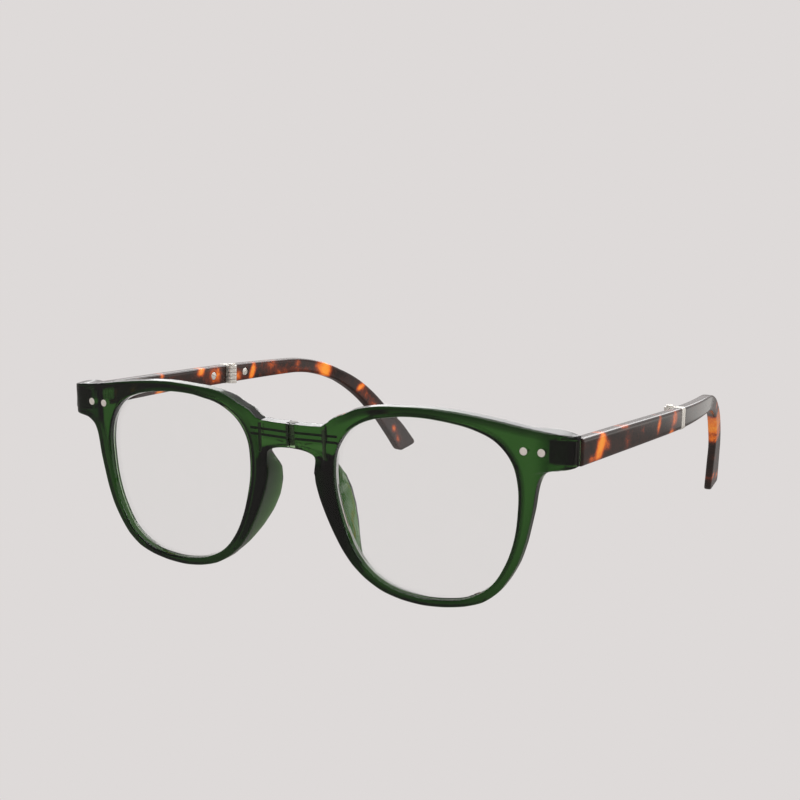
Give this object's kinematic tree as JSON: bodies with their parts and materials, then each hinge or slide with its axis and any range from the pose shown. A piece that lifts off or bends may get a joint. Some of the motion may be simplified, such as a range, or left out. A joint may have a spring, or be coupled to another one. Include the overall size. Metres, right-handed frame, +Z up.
{
  "type": "folding reading glasses",
  "caption": "Folding reading glasses: green crystal keyhole front hinged at the bridge, tortoiseshell temples hinged at the end pieces and half way along.",
  "frame": {"origin": "on the surface the open glasses stand on, under the middle of their bounding box", "axes": "+X towards the wearer's left, -Y the way the wearer looks, temples run back along +Y, +Z up"},
  "size_m": [0.1438, 0.1454, 0.0464],
  "materials": {
    "green_plastic": "glossy translucent dark green",
    "clear_lens": "clear polished",
    "tortoise_plastic": "glossy tortoiseshell, near black brown with amber patches",
    "hinge_steel": "satin nickel",
    "rivet_steel": "satin"
  },
  "bodies": {
    "front_left": {"front_half_left": "green_plastic", "lens_left": "clear_lens", "rivet_inner_left": "rivet_steel", "rivet_outer_left": "rivet_steel", "bridge_leaf_left": "hinge_steel", "end_leaf_left": "hinge_steel", "end_screw_left": "hinge_steel", "bridge_pin": "hinge_steel"},
    "temple_left": {"temple_leaf_left": "hinge_steel", "temple_front_left": "tortoise_plastic", "mid_leaf_front_left": "hinge_steel", "mid_screw_front_left": "hinge_steel", "mid_pin_left": "hinge_steel"},
    "tip_left": {"temple_rear_left": "tortoise_plastic", "mid_leaf_rear_left": "hinge_steel", "mid_screw_rear_left": "hinge_steel"},
    "front_right": {"front_half_right": "green_plastic", "lens_right": "clear_lens", "rivet_inner_right": "rivet_steel", "rivet_outer_right": "rivet_steel", "bridge_leaf_right": "hinge_steel", "end_leaf_right": "hinge_steel", "end_screw_right": "hinge_steel"},
    "temple_right": {"temple_leaf_right": "hinge_steel", "temple_front_right": "tortoise_plastic", "mid_leaf_front_right": "hinge_steel", "mid_screw_front_right": "hinge_steel", "mid_pin_right": "hinge_steel"},
    "tip_right": {"temple_rear_right": "tortoise_plastic", "mid_leaf_rear_right": "hinge_steel", "mid_screw_rear_right": "hinge_steel"}
  },
  "joints": [
    {"name": "bridge_fold", "type": "hinge", "parent": "front_left", "child": "front_right", "pos_m": [0, -0.07021, 0.03714], "axis": [0, 0.074, -0.9973], "range_deg": [0, 40]},
    {"name": "temple_left_fold", "type": "hinge", "parent": "front_left", "child": "temple_left", "pos_m": [0.0669, -0.06326, 0.03872], "axis": [0, -0.0535, -0.9986], "range_deg": [-83, 0]},
    {"name": "temple_left_tip_fold", "type": "hinge", "parent": "temple_left", "child": "tip_left", "pos_m": [0.06768, -0.00378, 0.03553], "axis": [0, 0.0535, 0.9986], "range_deg": [0, 126]},
    {"name": "temple_right_fold", "type": "hinge", "parent": "front_right", "child": "temple_right", "pos_m": [-0.0669, -0.06326, 0.03872], "axis": [0, 0.0535, 0.9986], "range_deg": [-74, 0]},
    {"name": "temple_right_tip_fold", "type": "hinge", "parent": "temple_right", "child": "tip_right", "pos_m": [-0.06768, -0.00378, 0.03553], "axis": [0, -0.0535, -0.9986], "range_deg": [0, 126]}
  ]
}
